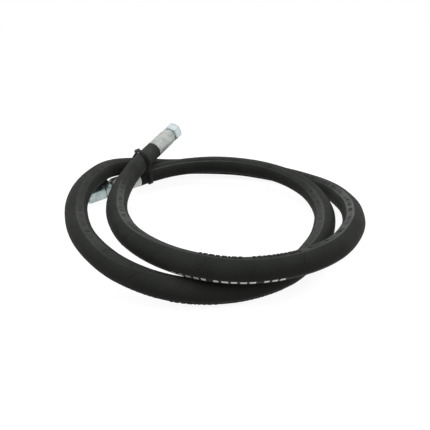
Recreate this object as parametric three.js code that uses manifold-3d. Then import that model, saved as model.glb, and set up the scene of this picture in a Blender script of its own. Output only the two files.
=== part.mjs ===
// A two-wire hydraulic hose assembly, wound in two loose turns and held by a cable tie.
// Each end has a crimped ferrule, a nipple and a swivel nut for a 37 degree cone.
// Millimetres, +Z up. The hose lies on z = 0, centred on the origin.

import * as THREE from "three";
import { mergeVertices } from "three/addons/utils/BufferGeometryUtils.js";
import Module from "manifold-3d";

// ---------------------------------------------------------------- driving sizes

// Hose layers, from the bore outwards
const HOSE_BORE = 12.7;
const TUBE_WALL = 1.4;
const BRAID_THICKNESS = 0.5;
const COVER_WALL = 1;
const CLEARANCE = 0.3; // between pieces that touch or turn on each other
const COVER_SIDES = 12;
const LAYER_SIDES = 8;
const HOSE_STEPS = 53;

// Ferrule, crimped over the bare wire; lengths run from its mouth, at the end of the cover
const FERRULE_LENGTH = 38;
const FERRULE_WALL = 1.1; // outside its grip grooves
const FERRULE_LIP_LENGTH = 3;
const FERRULE_LIP_HEIGHT = 0.3;
const CRIMP_RIDGES = 8;
const CRIMP_RIDGE_HEIGHT = 0.25;
const LOCK_LIP_LENGTH = 3; // the inward lip that grips the nipple's groove
const GRIP_GROOVES = 3;
const GRIP_GROOVE_DEPTH = 0.3;

// Nipple
const NIPPLE_BORE = 8.4;
const TAIL_START = 2.5;
const TAIL_BARBS = 4;
const BARB_DEPTH = 0.5;
const LOCK_GROOVE_RADIUS = 6.9;
const COLLAR_RADIUS = 8.8;
const COLLAR_LENGTH = 2;
const NECK_RADIUS = 6.7;
const HEAD_PLAY = 0.6; // between its head and the nut's thread
const HEAD_LENGTH = 4.5;
const SEAT_RIM = 0.8;
const SEAT_ANGLE = 37; // of the flared seat, from the axis
const WRENCH_HEX_LENGTH = 8.5; // end B only
const WRENCH_HEX_NECK = 2.6; // bare between it and the ferrule

// Swivel nut
const HEX_FLATS = 22;
const HEX_CHAMFER_ANGLE = 30;
const THREAD_BORE = 17.4;
const MOUTH_CHAMFER = 0.6;
const NUT_WEB = 5; // the back wall that holds the thrust wire
const NUT_LENGTH_A = 14;
const NUT_LENGTH_B = 22;
const HEX_TURN_A = 21; // how the hexagons stand about their axes, in degrees
const HEX_TURN_B = 24;
const THRUST_WIRE = 1.5;

// Cable tie
const TIE_WIDTH = 4.8;
const TIE_THICKNESS = 1.3;
const TIE_FROM_END_A = 25.5; // along the hose, from the end of its cover
const TIE_YAW = 30; // of the strap's plane, in degrees from the YZ plane
const TIE_TILT = 13; // and how far it leans over
const TIE_HEAD = { length: 7.4, height: 4.6, width: 7.4, direction: 62 };
const TIE_TAIL = 3;
const BUNDLE_DEPTH = 3; // how many hoses the tie holds

const TURN_SIDES = 24; // of a turned piece
const WIRE_SIDES = 6;
const SKIN_SAMPLES = 60; // along each step of the hose, to fit the strap

// The hose's centreline from end A to end B: x, y and how far it is lifted off the ground.
const ROUTE = [
  [-77.8, 122.2, 40.2],
  [-80.23, 118.08, 38.74],
  [-84.2, 110.8, 36.4],
  [-89.1, 100.2, 33.6],
  [-94.5, 85.5, 30.6],
  [-100.4, 60.9, 27.1],
  [-103.7, 26.9, 25.5],
  [-101.3, -24.9, 27.2],
  [-92.5, -65.8, 27],
  [-71, -111.3, 27.5],
  [-35, -146.3, 26.5],
  [13, -162.3, 24],
  [63, -155.3, 23],
  [106, -129.8, 23.5],
  [134, -87.8, 22.5],
  [147.5, -39.3, 17.5],
  [152, 10.7, 10],
  [146, 60.7, 4],
  [123, 105.2, 0],
  [84, 137.2, 0.5],
  [37, 155.7, 2.5],
  [-13.5, 161.2, 3.5],
  [-63, 152.2, 6.5],
  [-104.5, 126.2, 17.5],
  [-130.2, 83, 28.4],
  [-140, 34.7, 33],
  [-141, -15.8, 35.5],
  [-133.5, -66.3, 34.5],
  [-114.5, -112.3, 28],
  [-79, -146.3, 17],
  [-32, -159.8, 5.5],
  [18, -154.8, 0],
  [64.5, -134.8, 2.5],
  [97.5, -97.3, 8],
  [116.5, -50.3, 9.5],
  [124, -0.3, 8],
  [116.5, 49.7, 10],
  [89.5, 92.2, 13.5],
  [47.5, 119.2, 16],
  [-2, 131.2, 16],
  [-51.9, 125.7, 13.5],
  [-88, 104.1, 11.3],
  [-97.5, 97.7, 10],
];

// ---------------------------------------------------------------- derived sizes

// The corner radius of a many-sided bore whose flats stand at this radius.
function aroundFlats(radius, sides) {
  return radius / Math.cos(Math.PI / sides);
}

const tubeOuter = HOSE_BORE / 2 + TUBE_WALL;
const innerBraidBore = tubeOuter + CLEARANCE;
const innerBraidOuter = innerBraidBore + BRAID_THICKNESS;
const outerBraidBore = innerBraidOuter + CLEARANCE;
const wireRadius = outerBraidBore + BRAID_THICKNESS;
const coverBore = aroundFlats(wireRadius + CLEARANCE, COVER_SIDES);
const coverRadius = coverBore + COVER_WALL;

const ferruleBore = aroundFlats(wireRadius + CLEARANCE, TURN_SIDES);
const crimpRadius = ferruleBore + GRIP_GROOVE_DEPTH + FERRULE_WALL - CRIMP_RIDGE_HEIGHT;
const ferruleMouth = CLEARANCE;
const lockLipStart = FERRULE_LENGTH - LOCK_LIP_LENGTH;
const hoseEnd = lockLipStart - CLEARANCE; // how far the wire and tube go into the ferrule
const tailRadius = (HOSE_BORE / 2) * Math.cos(Math.PI / LAYER_SIDES) - CLEARANCE;

const hexCorner = HEX_FLATS / 2 / Math.cos(Math.PI / 6);
const threadRadius = THREAD_BORE / 2;
const headRadius = threadRadius - HEAD_PLAY;
const nutLipBore = NECK_RADIUS + CLEARANCE;
const wireCentre = (NECK_RADIUS + nutLipBore) / 2; // the thrust wire sits half in each groove
const wireGrooveWidth = THRUST_WIRE + 2 * CLEARANCE;
const wireGrooveReach = THRUST_WIRE / 2 + CLEARANCE;

// ---------------------------------------------------------------- materials

const finish = (color, roughness, metalness = 0) =>
  new THREE.MeshStandardMaterial({ color, roughness, metalness });
const RUBBER = finish(0x2c2e2c, 0.72);
const TUBE_RUBBER = finish(0x151515, 0.6);
const WIRE = finish(0xa79a72, 0.4, 1);
const ZINC = finish(0xc9cfd0, 0.32, 1);
const SATIN_ZINC = finish(0xbcbfba, 0.5, 1);
const SPRING_STEEL = finish(0x8a8d90, 0.35, 1);
const NYLON = finish(0x17191a, 0.45);

// ---------------------------------------------------------------- solids

const wasm = await Module();
wasm.setup();

function radians(degrees) {
  return (degrees * Math.PI) / 180;
}

function toSolid(geometry) {
  const bare = geometry.index ? geometry.toNonIndexed() : geometry.clone();
  bare.deleteAttribute("normal");
  bare.deleteAttribute("uv");
  const merged = mergeVertices(bare, 1e-4);
  return new wasm.Manifold(
    new wasm.Mesh({
      numProp: 3,
      vertProperties: merged.attributes.position.array,
      triVerts: new Uint32Array(merged.index.array),
    }),
  );
}

function toGeometry(solid) {
  const mesh = solid.getMesh();
  const geometry = new THREE.BufferGeometry();
  geometry.setAttribute("position", new THREE.BufferAttribute(new Float32Array(mesh.vertProperties), 3));
  geometry.setIndex(new THREE.BufferAttribute(new Uint32Array(mesh.triVerts), 1));
  const faceted = geometry.toNonIndexed();
  faceted.computeVertexNormals();
  return faceted;
}

// A ring turned about +Z from a closed profile of [radius, z], listed outside first and upwards.
function turned(profile, sides = TURN_SIDES) {
  const points = [...profile, profile[0]].map(([radius, z]) => new THREE.Vector2(radius, z));
  return new THREE.LatheGeometry(points, sides).rotateX(Math.PI / 2);
}

function hexPrism(from, to, turn) {
  return new THREE.CylinderGeometry(hexCorner, hexCorner, to - from, 6)
    .rotateX(Math.PI / 2)
    .rotateZ(radians(turn) - Math.PI / 2)
    .translate(0, 0, (from + to) / 2);
}

function part(name, geometry, material) {
  const mesh = new THREE.Mesh(geometry, material);
  mesh.name = name;
  return mesh;
}

// ---------------------------------------------------------------- hose

const route = new THREE.CatmullRomCurve3(
  ROUTE.map(([x, y, lift]) => new THREE.Vector3(x, y, coverRadius + lift)),
);
route.arcLengthDivisions = 2000;
const coverLength = route.getLength();

// The hose's cross-sections. Each is turned from the one before by no more than the bend needs.
function crossSections() {
  const sections = [];
  let up = new THREE.Vector3(0, 0, 1);
  let before = route.getTangentAt(0);
  for (let i = 0; i <= HOSE_STEPS; i++) {
    const ahead = route.getTangentAt(i / HOSE_STEPS);
    up = up.clone().applyQuaternion(new THREE.Quaternion().setFromUnitVectors(before, ahead));
    up.addScaledVector(ahead, -up.dot(ahead)).normalize();
    sections.push({ at: route.getPointAt(i / HOSE_STEPS), ahead, up, side: up.clone().cross(ahead) });
    before = ahead;
  }
  return sections;
}

const coverSections = crossSections();
const mouthA = coverSections[0];
const mouthB = coverSections[HOSE_STEPS];

function movedAhead(section, distance) {
  return { ...section, at: section.at.clone().addScaledVector(section.ahead, distance) };
}

// The wire and tube run straight on, past the cover, into each ferrule.
const layerSections = [
  movedAhead(mouthA, -hoseEnd),
  ...coverSections,
  movedAhead(mouthB, hoseEnd),
];

// A path through ready-made sections, so that every layer bends at the same places.
class SectionPath extends THREE.Curve {
  constructor(sections) {
    super();
    this.sections = sections;
  }
  getPoint(u) {
    return this.sections[Math.round(u * (this.sections.length - 1))].at.clone();
  }
  getPointAt(u) {
    return this.getPoint(u);
  }
  computeFrenetFrames() {
    return {
      tangents: this.sections.map((s) => s.ahead),
      normals: this.sections.map((s) => s.side),
      binormals: this.sections.map((s) => s.up),
    };
  }
}

function polygon(radius, sides) {
  return Array.from({ length: sides }, (_, i) => {
    const angle = (2 * Math.PI * i) / sides - Math.PI / 2;
    return new THREE.Vector2(radius * Math.cos(angle), radius * Math.sin(angle));
  });
}

function hoseLayer(outer, bore, sides, sections) {
  const ring = new THREE.Shape(polygon(outer, sides));
  ring.holes.push(new THREE.Path(polygon(bore, sides).reverse()));
  return new THREE.ExtrudeGeometry(ring, {
    steps: sections.length - 1,
    extrudePath: new SectionPath(sections),
  });
}

function hose() {
  const group = new THREE.Group();
  group.add(
    part("hose_cover", hoseLayer(coverRadius, coverBore, COVER_SIDES, coverSections), RUBBER),
    part("outer_braid", hoseLayer(wireRadius, outerBraidBore, LAYER_SIDES, layerSections), WIRE),
    part("inner_braid", hoseLayer(innerBraidOuter, innerBraidBore, LAYER_SIDES, layerSections), WIRE),
    part("inner_tube", hoseLayer(tubeOuter, HOSE_BORE / 2, LAYER_SIDES, layerSections), TUBE_RUBBER),
  );
  return group;
}

// ---------------------------------------------------------------- end fittings
// Each is built along +Z, with z = 0 where the hose's cover ends.

// The crimping dies leave a narrow ridge in the metal between each two of them.
function raiseCrimpRidges(geometry, from, to) {
  const position = geometry.attributes.position;
  const step = (2 * Math.PI) / CRIMP_RIDGES;
  for (let i = 0; i < position.count; i++) {
    const [x, y, z] = [position.getX(i), position.getY(i), position.getZ(i)];
    const radius = Math.hypot(x, y);
    const turns = Math.atan2(y, x) / step;
    const onRidge = Math.abs(turns - Math.round(turns)) < 0.01;
    if (onRidge && radius > ferruleBore + GRIP_GROOVE_DEPTH && z > from && z < to) {
      const raised = (radius + CRIMP_RIDGE_HEIGHT) / radius;
      position.setXY(i, x * raised, y * raised);
    }
  }
  return geometry;
}

function ferrule(name) {
  const lip = crimpRadius + FERRULE_LIP_HEIGHT;
  const lipEnd = ferruleMouth + FERRULE_LIP_LENGTH;
  const shoulder = lockLipStart - 1;
  const gripPitch = (shoulder - lipEnd) / GRIP_GROOVES;
  const grips = [];
  for (let i = GRIP_GROOVES - 1; i >= 0; i--) {
    const start = lipEnd + i * gripPitch;
    grips.push(
      [ferruleBore, start + 0.75 * gripPitch],
      [ferruleBore + GRIP_GROOVE_DEPTH, start + 0.65 * gripPitch],
      [ferruleBore + GRIP_GROOVE_DEPTH, start + 0.35 * gripPitch],
      [ferruleBore, start + 0.25 * gripPitch],
    );
  }
  const profile = [
    [lip - 0.5, ferruleMouth],
    [lip, ferruleMouth + 0.5],
    [lip, lipEnd - 0.8],
    [crimpRadius, lipEnd],
    [crimpRadius, shoulder],
    [crimpRadius - 0.9, FERRULE_LENGTH - 0.6],
    [crimpRadius - 1.6, FERRULE_LENGTH],
    [LOCK_GROOVE_RADIUS + CLEARANCE, FERRULE_LENGTH],
    [LOCK_GROOVE_RADIUS + CLEARANCE, lockLipStart],
    [ferruleBore, lockLipStart],
    ...grips,
    [ferruleBore, ferruleMouth],
  ];
  return part(name, raiseCrimpRidges(turned(profile), lipEnd - 0.1, shoulder + 0.1), SATIN_ZINC);
}

// The places along a fitting, outwards from its ferrule.
function stations(wrenchHexLength, nutLength) {
  const collarStart = FERRULE_LENGTH + CLEARANCE + (wrenchHexLength ? WRENCH_HEX_NECK : 0);
  const collarEnd = collarStart + (wrenchHexLength || COLLAR_LENGTH);
  const nutBack = collarEnd + CLEARANCE;
  const headStart = nutBack + NUT_WEB + CLEARANCE;
  return {
    collarStart,
    collarEnd,
    nutBack,
    wire: nutBack + NUT_WEB / 2,
    headStart,
    headEnd: headStart + HEAD_LENGTH,
    nutFace: nutBack + nutLength,
  };
}

function nipple(name, at, wrenchHexLength, turn) {
  const bore = NIPPLE_BORE / 2;
  const seatRadius = headRadius - SEAT_RIM;
  const seatDepth = (seatRadius - bore) / Math.tan(radians(SEAT_ANGLE));
  const barbPitch = (hoseEnd - TAIL_START - 1) / TAIL_BARBS;
  const barbs = [];
  for (let i = 0; i < TAIL_BARBS; i++) {
    const start = TAIL_START + 1 + i * barbPitch;
    barbs.push([tailRadius - BARB_DEPTH, start], [tailRadius, start + 0.8 * barbPitch]);
  }
  const core = turned([
    [tailRadius - BARB_DEPTH, TAIL_START],
    ...barbs,
    [tailRadius, lockLipStart],
    [LOCK_GROOVE_RADIUS, lockLipStart],
    [LOCK_GROOVE_RADIUS, at.collarStart],
    [COLLAR_RADIUS, at.collarStart],
    [COLLAR_RADIUS, at.collarEnd],
    [NECK_RADIUS, at.collarEnd],
    [NECK_RADIUS, at.wire - wireGrooveWidth / 2],
    [wireCentre - wireGrooveReach, at.wire - wireGrooveWidth / 2],
    [wireCentre - wireGrooveReach, at.wire + wireGrooveWidth / 2],
    [NECK_RADIUS, at.wire + wireGrooveWidth / 2],
    [NECK_RADIUS, at.headStart],
    [headRadius, at.headStart + 0.4],
    [headRadius, at.headEnd],
    [seatRadius, at.headEnd],
    [bore, at.headEnd - seatDepth],
    [bore, TAIL_START],
  ]);
  if (!wrenchHexLength) return part(name, core, ZINC);
  const hexagon = hexSolid(at.collarStart, at.collarEnd, (bore + LOCK_GROOVE_RADIUS) / 2, turn);
  return part(name, toGeometry(toSolid(core).add(hexagon)), ZINC);
}

// A hexagon with chamfered corners and a round hole.
function hexSolid(from, to, hole, turn) {
  const chamfer = (hexCorner - HEX_FLATS / 2) * Math.tan(radians(HEX_CHAMFER_ANGLE));
  const envelope = turned([
    [HEX_FLATS / 2, from],
    [hexCorner + 0.1, from + chamfer],
    [hexCorner + 0.1, to - chamfer],
    [HEX_FLATS / 2, to],
    [hole, to],
    [hole, from],
  ]);
  return toSolid(envelope).intersect(toSolid(hexPrism(from - 1, to + 1, turn)));
}

function swivelNut(name, at, turn) {
  const lip = aroundFlats(nutLipBore, TURN_SIDES);
  const groove = aroundFlats(wireCentre + wireGrooveReach, TURN_SIDES);
  const webEnd = at.nutBack + NUT_WEB;
  const cavity = turned([
    [lip, at.nutBack - 1],
    [lip, at.wire - wireGrooveWidth / 2],
    [groove, at.wire - wireGrooveWidth / 2],
    [groove, at.wire + wireGrooveWidth / 2],
    [lip, at.wire + wireGrooveWidth / 2],
    [lip, webEnd],
    [threadRadius, webEnd],
    [threadRadius, at.nutFace - MOUTH_CHAMFER],
    [threadRadius + MOUTH_CHAMFER, at.nutFace],
    [threadRadius + MOUTH_CHAMFER, at.nutFace + 1],
    [0.5, at.nutFace + 1],
    [0.5, at.nutBack - 1],
  ]);
  const blank = hexSolid(at.nutBack, at.nutFace, 1, turn);
  return part(name, toGeometry(blank.subtract(toSolid(cavity))), ZINC);
}

function thrustWire(name, at) {
  const ring = new THREE.TorusGeometry(wireCentre, THRUST_WIRE / 2, WIRE_SIDES, TURN_SIDES);
  return part(name, ring.translate(0, 0, at.wire), SPRING_STEEL);
}

// It stands at the end of the cover, points out of the hose and keeps its own up.
function endFitting(letter, mouth, out, wrenchHexLength, nutLength, turn) {
  const at = stations(wrenchHexLength, nutLength);
  const group = new THREE.Group();
  const up = new THREE.Vector3(0, 0, 1).addScaledVector(out, -out.z).normalize();
  group.setRotationFromMatrix(new THREE.Matrix4().makeBasis(up.clone().cross(out), up, out));
  group.position.copy(mouth);
  group.add(
    ferrule("ferrule_" + letter),
    nipple("nipple_" + letter, at, wrenchHexLength, turn),
    swivelNut("nut_" + letter, at, turn),
    thrustWire("thrust_wire_" + letter, at),
  );
  return group;
}

// ---------------------------------------------------------------- cable tie

// The strap lies in one plane across the bundle and is drawn tight round every hose it holds.
function cableTie() {
  const level = new THREE.Vector3(Math.cos(radians(TIE_YAW)), Math.sin(radians(TIE_YAW)), 0);
  const u = new THREE.Vector3(-level.y, level.x, 0);
  const across = level.clone().applyAxisAngle(u, -radians(TIE_TILT));
  const v = across.clone().cross(u);
  const origin = route.getPointAt(TIE_FROM_END_A / coverLength);

  // Every point of the hose's skin that the strap could touch, in the strap's plane.
  const bundleReach = BUNDLE_DEPTH * 2 * coverRadius;
  const touching = [];
  const around = polygon(coverRadius + CLEARANCE, COVER_SIDES);
  for (let i = 0; i < HOSE_STEPS; i++) {
    const [here, there] = [coverSections[i], coverSections[i + 1]];
    for (const { x, y } of around) {
      const start = here.at.clone().addScaledVector(here.side, x).addScaledVector(here.up, y);
      const end = there.at.clone().addScaledVector(there.side, x).addScaledVector(there.up, y);
      for (let k = 0; k < SKIN_SAMPLES; k++) {
        const skin = start.clone().lerp(end, k / SKIN_SAMPLES).sub(origin);
        const aside = Math.abs(skin.dot(across));
        if (aside > TIE_HEAD.width / 2 + CLEARANCE || skin.length() > bundleReach) continue;
        touching.push(new THREE.Vector2(skin.dot(u), skin.dot(v)));
      }
    }
  }

  const count = 48;
  const normals = Array.from({ length: count }, (_, i) => {
    const angle = (2 * Math.PI * i) / count;
    return new THREE.Vector2(Math.cos(angle), Math.sin(angle));
  });
  const furthest = normals.map((n) => Math.max(...touching.map((p) => p.dot(n))));

  // The corner where two neighbouring tangents meet, with the strap's face moved out by offset.
  function outline(offset) {
    const corners = normals.map((n, i) => {
      const next = (i + 1) % count;
      const m = normals[next];
      const [a, b] = [furthest[i] + offset, furthest[next] + offset];
      const cross = n.x * m.y - n.y * m.x;
      return new THREE.Vector2((a * m.y - b * n.y) / cross, (b * n.x - a * m.x) / cross);
    });
    return corners.filter((corner, i) => corner.distanceTo(corners[(i + 1) % count]) > 0.05);
  }

  const strap = new THREE.Shape(outline(TIE_THICKNESS));
  strap.holes.push(new THREE.Path(outline(0).reverse()));
  const band = new THREE.ExtrudeGeometry(strap, { depth: TIE_WIDTH, bevelEnabled: false });
  band.translate(0, 0, -TIE_WIDTH / 2);

  // The head stands on the strap's inner face, where a tangent has the head's direction.
  const angle = radians(TIE_HEAD.direction);
  const outward = new THREE.Vector2(Math.cos(angle), Math.sin(angle));
  const footing = touching.reduce((best, p) => (p.dot(outward) > best.dot(outward) ? p : best));
  const place = (geometry, lift) =>
    toSolid(
      geometry
        .translate(0, lift, 0)
        .rotateZ(angle - Math.PI / 2)
        .translate(footing.x, footing.y, 0),
    );
  const head = place(
    new THREE.BoxGeometry(TIE_HEAD.length, TIE_HEAD.height, TIE_HEAD.width),
    TIE_HEAD.height / 2,
  );
  const tail = place(
    new THREE.BoxGeometry(TIE_HEAD.length + 2 * TIE_TAIL, TIE_THICKNESS, TIE_WIDTH).translate(
      TIE_TAIL,
      0,
      0,
    ),
    TIE_HEAD.height / 2,
  );
  const mesh = part("cable_tie", toGeometry(toSolid(band).add(head).add(tail)), NYLON);
  mesh.setRotationFromMatrix(new THREE.Matrix4().makeBasis(u, v, across));
  mesh.position.copy(origin);
  return mesh;
}

// ---------------------------------------------------------------- assembly

const assembly = new THREE.Group();
assembly.add(
  hose(),
  endFitting("a", mouthA.at, mouthA.ahead.clone().negate(), 0, NUT_LENGTH_A, HEX_TURN_A),
  endFitting("b", mouthB.at, mouthB.ahead.clone(), WRENCH_HEX_LENGTH, NUT_LENGTH_B, HEX_TURN_B),
  cableTie(),
);
export default assembly;
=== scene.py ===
import math
import random

import bmesh
import bpy
import numpy as np
from mathutils import Matrix, Vector


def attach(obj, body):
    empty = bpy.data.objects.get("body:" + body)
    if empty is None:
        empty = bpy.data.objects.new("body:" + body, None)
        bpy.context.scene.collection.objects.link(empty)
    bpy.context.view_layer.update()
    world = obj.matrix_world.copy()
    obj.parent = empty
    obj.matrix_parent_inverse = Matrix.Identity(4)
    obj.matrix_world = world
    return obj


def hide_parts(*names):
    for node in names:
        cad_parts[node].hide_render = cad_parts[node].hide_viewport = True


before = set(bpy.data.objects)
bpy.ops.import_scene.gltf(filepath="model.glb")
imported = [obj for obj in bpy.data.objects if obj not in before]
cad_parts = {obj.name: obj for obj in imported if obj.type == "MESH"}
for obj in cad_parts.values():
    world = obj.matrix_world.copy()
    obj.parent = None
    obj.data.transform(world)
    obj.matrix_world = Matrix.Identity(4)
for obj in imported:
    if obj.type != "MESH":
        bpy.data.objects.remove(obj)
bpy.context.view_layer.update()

# A two-wire hydraulic hose assembly, wound in two loose turns and held by a cable tie.
# Lengths are in metres, or in millimetres where a comment says so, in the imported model's frame.

MM = 0.001

# ------------------------ sizes

COVER_RADIUS = 11.0 * MM
COVER_BORE = 10.0 * MM  # its radius
CENTRE_HEIGHT = 10.99 * MM  # of the centreline, where the hose lies on the ground
HOSE_ROWS = 1060  # of points, along the skin
BORE_ROWS = 110
WRAP_PITCH = 39.5 * MM  # of the tape that the cover was cured under
WRAP_PHASE = 0.51
BAND_HALF = 21  # half the width of each of the two smooth bands, in degrees
BAND_EDGE = 3.5  # degrees to each side of its edge over which a band turns into plain cover
SECOND_BAND = -148  # where the second one stands, in degrees from the first
BAND_DEPTH = 0.10 * MM
RIDGE_HEIGHT = 0.08 * MM  # of a band's raised edges
RIDGE_REACH = 2.4  # degrees
LAP_GROOVE = 0.08 * MM  # depth between two laps of the tape
LAP_GROOVE_REACH = 2.3 * MM
LAP_RISE = 0.05 * MM  # over the width of a lap
WAVES = [(0.05 * MM, 21.3 * MM, 1, 0), (0.04 * MM, 8.7 * MM, 2, 1)]  # height, run, times round, phase

# The layers under the cover, from the outside in: node, bore and radius.
LAYERS = [
    ("outer_braid", 8.85 * MM, 9.35 * MM),
    ("inner_braid", 8.05 * MM, 8.55 * MM),
    ("inner_tube", 6.35 * MM, 7.75 * MM),
]
LAYER_REACH = 34.7 * MM  # how far they run on, straight, into each ferrule
LAYER_ROWS = 240
LAYER_COLUMNS = 36

GAP = 0.3 * MM  # between pieces that touch or turn on each other
FERRULE_LENGTH = 38 * MM
COLLAR_LENGTH = 2 * MM
WRENCH_HEX_LENGTH = 8.5 * MM
WRENCH_HEX_NECK = 2.6 * MM
NUT_WEB = 5 * MM  # the back wall that holds the thrust wire
NUT_LENGTH_A = 14 * MM
NUT_LENGTH_B = 22 * MM
HEAD_LENGTH = 4.5 * MM
HEX_FLATS = 22 * MM
CROWN_RADIUS = 9.75 * MM  # of a nut's end face, where its outer end is rounded
CROWN_LENGTHS_A = (2.2 * MM, 4 * MM)  # at the nut's back and at its mouth
HEX_TURN_A = 21  # how the hexagons stand about their axes, in degrees
HEX_TURN_B = 24

# The hose's centreline from end A to end B, in millimetres: x, y and how far it is lifted off the
# ground. They are the part's own points.
ROUTE = [
    (-77.8, 122.2, 40.2),
    (-80.23, 118.08, 38.74),
    (-84.2, 110.8, 36.4),
    (-89.1, 100.2, 33.6),
    (-94.5, 85.5, 30.6),
    (-100.4, 60.9, 27.1),
    (-103.7, 26.9, 25.5),
    (-101.3, -24.9, 27.2),
    (-92.5, -65.8, 27),
    (-71, -111.3, 27.5),
    (-35, -146.3, 26.5),
    (13, -162.3, 24),
    (63, -155.3, 23),
    (106, -129.8, 23.5),
    (134, -87.8, 22.5),
    (147.5, -39.3, 17.5),
    (152, 10.7, 10),
    (146, 60.7, 4),
    (123, 105.2, 0),
    (84, 137.2, 0.5),
    (37, 155.7, 2.5),
    (-13.5, 161.2, 3.5),
    (-63, 152.2, 6.5),
    (-104.5, 126.2, 17.5),
    (-130.2, 83, 28.4),
    (-140, 34.7, 33),
    (-141, -15.8, 35.5),
    (-133.5, -66.3, 34.5),
    (-114.5, -112.3, 28),
    (-79, -146.3, 17),
    (-32, -159.8, 5.5),
    (18, -154.8, 0),
    (64.5, -134.8, 2.5),
    (97.5, -97.3, 8),
    (116.5, -50.3, 9.5),
    (124, -0.3, 8),
    (116.5, 49.7, 10),
    (89.5, 92.2, 13.5),
    (47.5, 119.2, 16),
    (-2, 131.2, 16),
    (-51.9, 125.7, 13.5),
    (-88, 104.1, 11.3),
    (-97.5, 97.7, 10),
]

# ------------------------ camera

CAMERA_AT = (0.0032, -0.4985, 0.23732)
CAMERA_PITCH = 24.477
CAMERA_ROLL = 0.806
FOCAL_PIXELS = 480.0
FRAME_PIXELS = 430
SENSOR = 36.0

camera_data = bpy.data.cameras.new("camera")
camera_data.sensor_width = SENSOR
camera_data.lens = FOCAL_PIXELS / FRAME_PIXELS * SENSOR
camera = bpy.data.objects.new("camera", camera_data)
camera.matrix_world = (
    Matrix.Translation(CAMERA_AT)
    @ Matrix.Rotation(math.radians(90 - CAMERA_PITCH), 4, "X")
    @ Matrix.Rotation(math.radians(-CAMERA_ROLL), 4, "Z")
)
bpy.context.scene.collection.objects.link(camera)
bpy.context.scene.camera = camera
bpy.context.scene.view_settings.view_transform = "Standard"

# ------------------------ meshes


def quads(rows, columns, rows_close=False, columns_close=True):
    """Quads between neighbouring points of a grid that is stored row by row."""
    r = np.arange(rows if rows_close else rows - 1)
    c = np.arange(columns if columns_close else columns - 1)
    r, c = (m.ravel() for m in np.meshgrid(r, c, indexing="ij"))
    r2, c2 = (r + 1) % rows, (c + 1) % columns
    return np.stack([r * columns + c, r * columns + c2, r2 * columns + c2, r2 * columns + c], axis=1)


def outward(points, faces):
    """The faces, turned over if the closed surface encloses a negative volume."""
    a, b, c, d = (points[faces[:, i]] for i in range(4))
    volume = np.einsum("ij,ij->i", a, np.cross(b, c)).sum()
    volume += np.einsum("ij,ij->i", a, np.cross(c, d)).sum()
    return faces if volume > 0 else faces[:, ::-1]


def add_piece(name, mesh, material, sharp_angle, place):
    """Makes the mesh a smooth-shaded object, moved to its place."""
    mesh.polygons.foreach_set("use_smooth", [True] * len(mesh.polygons))
    mesh.set_sharp_from_angle(angle=math.radians(sharp_angle))
    mesh.materials.append(material)
    mesh.transform(place)
    mesh.update()
    piece = bpy.data.objects.new(name, mesh)
    bpy.context.scene.collection.objects.link(piece)
    return piece


def new_piece(name, points, faces, material, sharp_angle=35, place=Matrix.Identity(4)):
    """A piece that also keeps each point as built, before it is put in its place."""
    points = np.asarray(points, float)
    mesh = bpy.data.meshes.new(name)
    mesh.from_pydata(points.tolist(), [], np.asarray(faces).tolist())
    built = mesh.attributes.new("built", "FLOAT_VECTOR", "POINT")
    built.data.foreach_set("vector", points.ravel().astype(np.float32))
    return add_piece(name, mesh, material, sharp_angle, place)


# ------------------------ route


CURVE_STEPS = 60  # between each two points of the route
TANGENT_STEP = 1.5 * MM


def catmull_rom(points, steps):
    """Centripetal Catmull-Rom curve through the points, with this many steps between each two."""
    points = [np.array(p, float) for p in points]
    ends = [2 * points[0] - points[1], *points, 2 * points[-1] - points[-2]]
    out = []
    for i in range(1, len(ends) - 2):
        p0, p1, p2, p3 = ends[i - 1 : i + 3]
        d0, d1, d2 = (math.sqrt(np.linalg.norm(b - a)) for a, b in ((p0, p1), (p1, p2), (p2, p3)))
        t1 = ((p1 - p0) / d0 - (p2 - p0) / (d0 + d1) + (p2 - p1) / d1) * d1
        t2 = ((p2 - p1) / d1 - (p3 - p1) / (d1 + d2) + (p3 - p2) / d2) * d1
        for w in np.arange(steps) / steps:
            square = (3 * (p2 - p1) - 2 * t1 - t2) * w**2
            cube = (2 * (p1 - p2) + t1 + t2) * w**3
            out.append(p1 + t1 * w + square + cube)
    return np.array([*out, points[-1]])


def unit(v):
    return v / np.linalg.norm(v, axis=-1, keepdims=True)


route = [(x * MM, y * MM, CENTRE_HEIGHT + lift * MM) for x, y, lift in ROUTE]
fine_line = catmull_rom(route, CURVE_STEPS)
fine_along = np.concatenate([[0], np.cumsum(np.linalg.norm(np.diff(fine_line, axis=0), axis=1))])
HOSE_LENGTH = float(fine_along[-1])


def centreline(along):
    """The centreline's points at these lengths from end A."""
    along = np.clip(along, 0, HOSE_LENGTH)
    return np.stack([np.interp(along, fine_along, fine_line[:, k]) for k in range(3)], axis=1)


def upright(ahead):
    """Up and side (towards the inside of the coil), at right angles to these directions."""
    up = unit(np.array([0, 0, 1]) - ahead * ahead[:, 2:3])
    return up, np.cross(up, ahead)


def sections(along):
    """The centreline's point, up and side at these lengths."""
    ahead = unit(centreline(along + TANGENT_STEP) - centreline(along - TANGENT_STEP))
    return centreline(along), *upright(ahead)


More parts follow.
